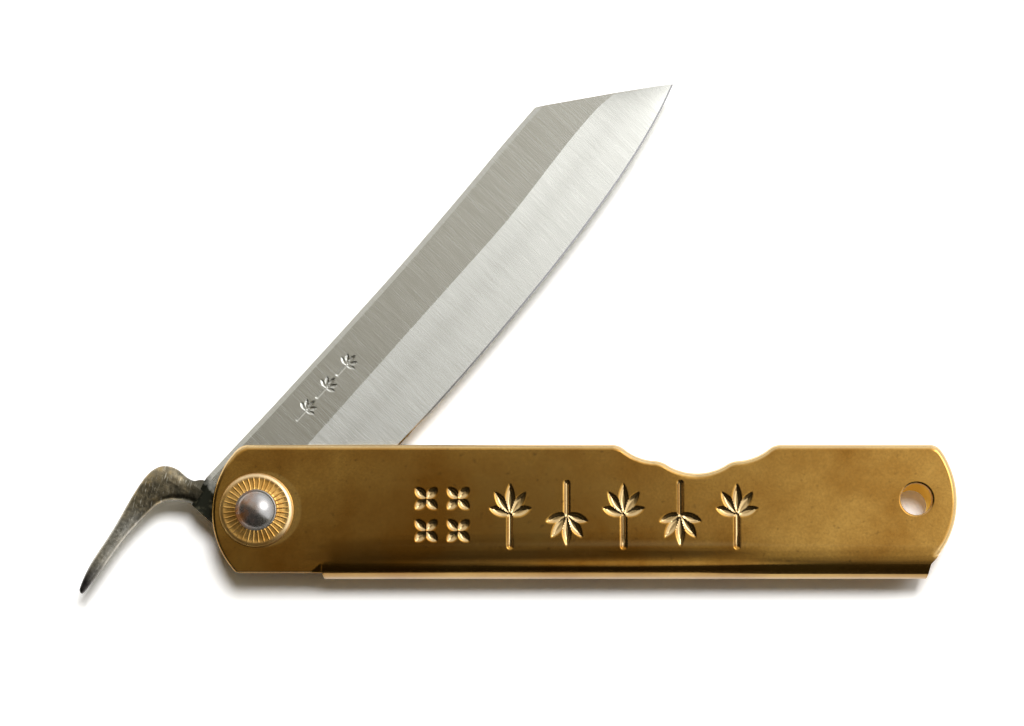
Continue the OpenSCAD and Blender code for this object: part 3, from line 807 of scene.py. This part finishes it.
def makeWasher(seatZ):
    s = washerSizes
    rimHighlightR, steps = s["rimHeight"], s["slopeSteps"]
    run, fall = s["rimStart"] - s["seat"], s["height"] - rimHighlightR
    slope = [(s["seat"] + run * i / steps, s["height"] - fall * i / steps) for i in range(steps + 1)]
    turns = [math.radians(a) for a in range(10, 91, 10)]
    rim = [(s["radius"] - rimHighlightR + rimHighlightR * math.sin(a), rimHighlightR * math.cos(a)) for a in turns]
    profile = [(s["bore"], 0), (s["bore"], s["height"])] + slope + rim + [(s["bore"], 0)]
    made = turnProfile([(r, z + seatZ) for r, z in profile], s["ribs"] * s["stepsPerRib"])

    def grooves(x, y):      # between thin ribs, fading out at the seat and at the rim
        r = np.hypot(x, y)
        turn = (np.degrees(np.arctan2(y, x)) * s["ribs"] / 360) % 1 - 0.5
        across = np.abs(turn) * 2 * math.pi * r / s["ribs"]
        rib = np.clip(1 - across / s["ribWidth"], 0, 1)
        inner = np.clip((r - s["seat"] - s["grooveStart"][0]) / s["grooveStart"][1], 0, 1)
        fade = np.clip((s["rimStart"] - r) / s["grooveEnd"], 0, 1)
        return (1 - rib) * inner * fade * (2 - fade)

    pressIn(made, seatZ + s["above"], grooves, s["grooveDepth"])
    return made


# Rivet: one steel shank with a domed head and a thin brim at each end
rivetSizes = {"shank": 1.5, "head": 2.75, "brim": 0.25, "foot": 2.45, "dome": 1.1, "seat": 3.5,
              "brimRound": 0.1, "domeSteps": 14, "sides": 96}


def makeRivet():
    s = rivetSizes
    ball = (s["foot"] ** 2 + s["dome"] ** 2) / (2 * s["dome"])
    brimTop = s["seat"] + s["brim"]
    top = brimTop + s["dome"]
    widest = math.degrees(math.asin(s["foot"] / ball))
    turns = [math.radians(widest * i / s["domeSteps"]) for i in range(s["domeSteps"] + 1)]
    half = [(ball * math.sin(a), top - ball + ball * math.cos(a)) for a in turns]
    r = s["brimRound"]
    turns = [math.radians(a) for a in (0, 30, 60, 90)]
    half += [(s["head"] - r + r * math.sin(a), brimTop - r + r * math.cos(a)) for a in turns]
    half += [(s["head"], s["seat"]), (s["shank"], s["seat"])]
    return turnProfile(half + [(x, -z) for x, z in reversed(half)], s["sides"])


# Blade: ground from both sides to a thin edge, a chamfer along the spine, a slanted point
bladeSizes = {
    "reach": 81.0, "half": 1.5, "edgeHalf": 0.075, "spine": 8.1, "belly": 8.55, "tipDrop": 3.5, "clip": 66.3,
    "heel": 11.2, "plunge": 9.6, "heelRise": 0.45, "bellyX": 30.0, "bellyShape": (0.66, 0.34), "tangR": 5.25,
    "tangLow": 6.8, "tangChamfer": 0.15, "shoulder": -1.25, "shoulderFall": 0.25, "chamfer": (0.7, 0.3),
    "ridge": (0.85, 1.1, 70.4, 22.0, 0.028), "leastBevel": 1.5, "bevelSteps": 12, "honed": 0.22,
    "honedSlope": 36.0, "boreR": 1.55,
}
spineLine = ((-1.25, 8.1), (5.0, 8.0), (11.5, 7.82), (20.0, 7.7), (37.0, 7.63), (50.0, 7.92), (61.5, 8.38),
             (90.0, 8.42))      # x, y
bevelSlopes = ((0.0, 12.0), (0.12, 11.0), (0.36, 7.0), (0.63, 9.8), (0.82, 8.8), (1.0, 8.4))      # in degrees
bladeStations = ([-5.25, -5.1, -4.6, -3.6, -2.4, -1.25, -0.6, 0.0, 3.0, 6.0, 9.6, 10.4, 11.2, 12.4, 25.0]
                 + [25 + 1.25 * i for i in range(1, 30)] + [62 + 0.6 * i for i in range(1, 34)])
engraving = {"firstX": 14.4, "pitch": 4.1, "count": 3, "y": 4.125, "length": 1.7, "widthShare": 4,
             "stemShare": 7, "foot": 0.07, "crown": 0.08, "depth": 0.12, "grid": ((12.5, 1.6), (24.8, 6.7)),
             "gridPieces": 3, "gridCuts": 50}


def edgeY(x):
    s = bladeSizes
    if x > s["bellyX"]:
        u = (x - s["bellyX"]) / (s["reach"] - s["bellyX"])
        early, late = s["bellyShape"]
        return -s["belly"] + (s["belly"] - s["tipDrop"]) * (early * u ** 2 + late * u ** 6)
    return -s["belly"] + s["heelRise"] * ((s["bellyX"] - x) / (s["bellyX"] - s["heel"])) ** 2


def ridgeY(x):
    height, climb, peak, run, fall = bladeSizes["ridge"]
    if x < peak:
        share = min(max(1 + (x - peak) / run, 0), 1)
        return height + climb * (1 - math.cos(math.pi * share)) / 2
    return height + climb - fall * (x - peak) ** 2


def bladeRing(x):
    s = bladeSizes
    half = s["half"]
    # From 0 on the tang to 1 where it is ground
    heel = min(max((x - s["plunge"]) / (s["heel"] - s["plunge"]), 0), 1)
    if x < 0:
        low = -math.sqrt(max(s["tangR"] ** 2 - x ** 2, 0.01))
    elif x < s["plunge"]:
        low = -s["tangR"] - (s["tangLow"] - s["tangR"]) * x / s["plunge"]
    else:
        low = -s["tangLow"] + (edgeY(max(x, s["heel"])) + s["tangLow"]) * heel
    if x > s["shoulder"]:
        near = [float(np.interp(x + step, *zip(*spineLine))) for step in range(-4, 5)]
        high = sum(near) / len(near)
    else:
        high = s["spine"] - (s["shoulder"] - x) * s["shoulderFall"]
    ridge = max(ridgeY(x), low + s["leastBevel"])
    honed = low + s["honed"]
    honedZ = s["edgeHalf"] + s["honed"] * math.tan(math.radians(s["honedSlope"]))
    shares = [i / s["bevelSteps"] for i in range(s["bevelSteps"] + 1)]
    slopes = [math.tan(math.radians(float(np.interp(u, *zip(*bevelSlopes))))) for u in shares]
    drops = [0.0]
    for before, after in zip(slopes, slopes[1:]):
        drops.append(drops[-1] + (before + after) / 2)
    side = []
    for u, drop in zip(shares, drops):      # ridge to the honed strip
        z = half - (half - honedZ) * drop / drops[-1]
        side.append((ridge + (honed - ridge) * u, half + (z - half) * heel))
    side.append((low, half - s["tangChamfer"] + (s["edgeHalf"] - half + s["tangChamfer"]) * heel))
    side.reverse()
    wide, deep = s["chamfer"]
    side += [(high - wide, half), (high, half - deep)]
    return [(x, y, z) for y, z in side] + [(x, y, -z) for y, z in reversed(side)]


def makeBlade():
    s, e = bladeSizes, engraving
    made = loft([bladeRing(x) for x in sorted(set(bladeStations))])
    startEdit(made)
    bpy.ops.mesh.select_all(action="SELECT")
    slantNormal = Vector((s["spine"] + s["tipDrop"], s["reach"] - s["clip"], 0)).normalized()
    corner = (s["clip"], s["spine"], 0)
    bpy.ops.mesh.bisect(plane_co=corner, plane_no=slantNormal, use_fill=True, clear_outer=True)
    endEdit()
    combine(made, rod(0, 0, s["boreR"], -s["half"] * 2, s["half"] * 2), "DIFFERENCE")
    subdivide(made, gridBorders(made, *e["grid"], e["gridPieces"], s["half"]), e["gridCuts"])

    def sprigs(x, y):
        depth = np.zeros(len(x))
        for i in range(e["count"]):
            centre = (e["firstX"] + i * e["pitch"], e["y"])
            depth = np.maximum(depth, sprigDepth(x, y, centre, 0, e["length"], e["length"] / e["widthShare"],
                                                 e["length"] / e["stemShare"], e["foot"], e["crown"]))
        return depth

    pressIn(made, s["half"] - 0.01, sprigs, e["depth"])
    return made


def honedFaces(made):
    def isHoned(spot):
        return spot.x > bladeSizes["heel"] and spot.y < edgeY(spot.x) + bladeSizes["honed"] + 0.02
    return [face.index for face in made.data.polygons if isHoned(face.center)]


# Lever: forged in one with the blade. Its outline goes from the tang round a flat bend to a blunt tip, in pairs
# of an outer and an inner point
leverSides = (
    ((-1.3, 6.9), (-5.0, 6.3)), ((-1.8, 8.4), (-5.2, 7.6)), ((-2.65, 9.2), (-5.9, 8.8)),
    ((-2.95, 10.3), (-6.7, 9.75)), ((-3.0, 11.9), (-7.5, 10.35)), ((-3.55, 13.2), (-8.4, 10.75)),
    ((-4.6, 14.1), (-9.4, 10.92)), ((-6.45, 14.45), (-10.35, 10.98)), ((-9.6, 14.05), (-12.2, 11.05)),
    ((-14.76, 12.95), (-15.2, 11.0)), ((-19.83, 12.17), (-20.1, 10.45)), ((-22.3, 11.5), (-22.5, 10.25)),
    ((-23.63, 10.98), (-23.75, 10.2)))
leverSizes = {"neckT": 2.8, "tipT": 1.3, "taper": 1.3, "square": (3.2, 2.2), "sides": 40, "steps": 5,
              "cap": ((0.8, 0.14), (0.5, 0.2)), "facet": ((-3.4, 12.0, 1.08), (0.74, 0.12, 0.66))}


def smoothLine(points, steps):      # a curve through the points
    line = []
    for i in range(len(points) - 1):
        a, b, c, d = points[max(i - 1, 0)], points[i], points[i + 1], points[min(i + 2, len(points) - 1)]
        for j in range(steps):
            t = j / steps
            second, third = a * 2 - b * 5 + c * 4 - d, b * 3 - a - c * 3 + d
            line.append((b * 2 + (c - a) * t + second * t ** 2 + third * t ** 3) / 2)
    return line + [points[-1]]


def makeLever():
    s = leverSizes
    outer = smoothLine([Vector(a) for a, b in leverSides], s["steps"])
    inner = smoothLine([Vector(b) for a, b in leverSides], s["steps"])
    rings = []
    for i, (a, b) in enumerate(zip(outer, inner)):
        share = i / (len(outer) - 1)
        thick = s["neckT"] + (s["tipT"] - s["neckT"]) * share ** s["taper"]
        square = s["square"][0] + (s["square"][1] - s["square"][0]) * share      # rounder towards the tip
        ring = []
        for j in range(s["sides"]):
            angle = 2 * math.pi * (j + 0.5) / s["sides"]
            c, d = [math.copysign(abs(v) ** (2 / square), v) for v in (math.cos(angle), math.sin(angle))]
            spot = (a + b) / 2 + (a - b) / 2 * c
            ring.append((spot.x, spot.y, thick / 2 * d))
        rings.append(ring)
    # The blunt tip closes over a short rounded cap
    middle = (outer[-1] + inner[-1]) / 2
    ahead = (middle - (outer[-2] + inner[-2]) / 2).normalized()
    for share, out in s["cap"]:
        rings.append([(middle.x + (x - middle.x) * share + ahead.x * out,
                       middle.y + (y - middle.y) * share + ahead.y * out, z * share) for x, y, z in rings[-1]])
    made = loft(rings)
    place, normal = s["facet"]      # a flat filed on the outside of the bend
    startEdit(made)
    bpy.ops.mesh.select_all(action="SELECT")
    bpy.ops.mesh.bisect(plane_co=place, plane_no=Vector(normal).normalized(), use_fill=True, clear_outer=True)
    endEdit()
    return made


# White paper, seen a little brighter than it is lit, so that it goes to plain white behind the knife
floorLook = {"size": 4, "lit": (0.8, 0.8, 0.8, 1), "seen": (1.3, 1.3, 1.3, 1)}


def makeFloor():
    bpy.ops.mesh.primitive_plane_add(size=floorLook["size"])
    floor = bpy.context.object
    floor.name = "studioFloor"
    material = bpy.data.materials.new("whitePaper")
    material.use_nodes = True
    tree = material.node_tree
    tree.nodes.clear()
    path = addNode(tree, "ShaderNodeLightPath").outputs
    seen = maths(tree, "MAXIMUM", path["Is Camera Ray"], maths(
        tree, "MAXIMUM", path["Is Glossy Ray"], path["Is Transmission Ray"]))
    paper = addNode(tree, "ShaderNodeBsdfDiffuse", {
        "Color": mixColours(tree, seen, floorLook["lit"], floorLook["seen"])})
    addNode(tree, "ShaderNodeOutputMaterial", {"Surface": paper.outputs[0]})
    floor.data.materials.append(material)


# A plain studio: brighter to the right, dark on the viewer's side and where the camera is, with a soft window
# at the upper right, a lit back wall and a low horizon
skyLook = {
    "left": 0.56, "rise": (0.04, 0.20, 0.0, 0.60), "right": (0.24, 0.50, 0.0, 0.25), "skew": 0.7,
    "shade": (-0.09, 0.03, 0.04, 1.0), "camera": (0.0, 0.02, 0.0), "cameraEdge": (0.04, 0.09, 0.0, 1.0),
    "window": (0.58, 0.36, 0.73), "windowEdge": (0.925, 0.985, 0, 3.6), "back": (0.15, 0.9, 0.0, 0.45),
    "horizon": (0.05, 0.35, 1, 0), "horizonSide": (-0.4, 0.5, 0.05, 0.75),
    "ambient": 0.24, "dark": "#fff0c4", "tint": (0.15, 0.95, 0, 1),
}


def makeSky():
    s = skyLook
    white = (1, 1, 1, 1)
    world = bpy.data.worlds.new("softStudio")
    scene.world = world
    world.use_nodes = True
    tree = world.node_tree
    tree.nodes.clear()
    gaze = addNode(tree, "ShaderNodeTexCoord").outputs["Generated"]
    x, y, z = splitAxes(tree, gaze)
    side = plus(tree, toRange(tree, x, *s["rise"]), toRange(tree, x, *s["right"]))
    side = plus(tree, side, s["left"])
    leaning = plus(tree, y, times(tree, x, s["skew"]))
    offCamera = toRange(tree, flatDistance(tree, x, y, s["camera"]), *s["cameraEdge"])
    shade = times(tree, toRange(tree, leaning, *s["shade"]), offCamera)
    level = times(tree, side, shade)
    toWindow = addNode(tree, "ShaderNodeVectorMath", {
        0: gaze, 1: Vector(s["window"]).normalized()}, operation="DOT_PRODUCT").outputs["Value"]
    level = plus(tree, level, toRange(tree, toWindow, *s["windowEdge"]))
    level = plus(tree, level, toRange(tree, y, *s["back"]))
    wall = toRange(tree, leaning, *s["horizonSide"])
    level = mixValues(tree, toRange(tree, z, *s["horizon"]), level, wall)
    path = addNode(tree, "ShaderNodeLightPath").outputs
    level = mixValues(tree, path["Is Diffuse Ray"], level, times(tree, level, s["ambient"]))
    level = mixValues(tree, path["Is Camera Ray"], level, 1.0)
    tint = mixColours(tree, toRange(tree, level, *s["tint"]), hexColour(s["dark"]), white)
    tint = mixColours(tree, path["Is Camera Ray"], tint, white)
    glow = addNode(tree, "ShaderNodeBackground", {"Color": tint, "Strength": level})
    addNode(tree, "ShaderNodeOutputWorld", {"Surface": glow.outputs[0]})


# A broad round softbox nearly overhead, which the metals don't mirror
lampLook = {"direction": (0.12, 0.36, 1.0), "distance": 1.2, "size": 0.42, "power": 12.5}


def makeLamp():
    lamp = bpy.data.objects.new("softbox", bpy.data.lights.new("softbox", "AREA"))
    scene.collection.objects.link(lamp)
    lamp.data.shape = "DISK"
    lamp.data.size = lampLook["size"]
    lamp.data.energy = lampLook["power"]
    lamp.location = Vector(lampLook["direction"]).normalized() * lampLook["distance"]
    lamp.rotation_euler = lamp.location.to_track_quat("Z", "Y").to_euler()
    lamp.visible_glossy = False


# The camera looks down on a point of the knife, given from the pivot, leaning a little back; mm and degrees
cameraSizes = {"aim": (34.259, 19.825, 2.6), "distance": 400, "lean": 5.5, "lens": 104.47}


def makeCamera():
    camera = bpy.data.objects.new("camera", bpy.data.cameras.new("camera"))
    scene.collection.objects.link(camera)
    lean, distance = math.radians(cameraSizes["lean"]), cameraSizes["distance"]
    x, y, z = cameraSizes["aim"]
    camera.location = pivot + Vector((x, y - distance * math.sin(lean), z + distance * math.cos(lean))) * mm
    camera.rotation_euler = (lean, 0, 0)
    camera.data.lens = cameraSizes["lens"]
    scene.camera = camera


brass, inside, pressed, rivetSteel = rolledBrass(), dullBrassWithBounce(), pressedBrass(), polishedRivet()
ground, honed, forged = groundSteel(), honedSteel(), forgedSteel()
print("materials made")

handle = makeHandle()
smooth(handle)
inSlot = insideFaces(handle)
putInFrame(handle, "handle_sheet", "handle", "handle", [brass, inside])
for index in inSlot:
    handle.data.polygons[index].material_index = 1

washer = makeWasher(sheetHalf)
smooth(washer, 40)
backWasher = washer.copy()
backWasher.data = washer.data.copy()
scene.collection.objects.link(backWasher)
backWasher.data.transform(Matrix.Scale(-1, 4, (0, 0, 1)))
startEdit(backWasher)
bpy.ops.mesh.select_all(action="SELECT")
bpy.ops.mesh.normals_make_consistent(inside=False)
endEdit()
putInFrame(washer, "washer_front", "handle", "front_washer", [pressed])
putInFrame(backWasher, "washer_back", "handle", "back_washer", [pressed])

rivet = makeRivet()
smooth(rivet, 40)
putInFrame(rivet, "rivet", "handle", "pivot_rivet", [rivetSteel])

blade = makeBlade()
smooth(blade, 6)
layer = blade.data.uv_layers.new(name="grinding")      # U runs along the blade
for loop in blade.data.loops:
    x, y, z = blade.data.vertices[loop.vertex_index].co
    layer.uv[loop.index].vector = (x / 100, (y + 0.6 * z) / 100)
onEdge = honedFaces(blade)
putInFrame(blade, "blade_ground", "blade", "blade", [ground, honed], turn=restAngle)
for index in onEdge:
    blade.data.polygons[index].material_index = 1

lever = makeLever()
smooth(lever, 40)
putInFrame(lever, "blade_lever", "blade", "blade", [forged], turn=restAngle)

makeFloor()
makeSky()
makeLamp()
makeCamera()
scene.view_settings.view_transform = "Standard"
print("floor, light and camera set")
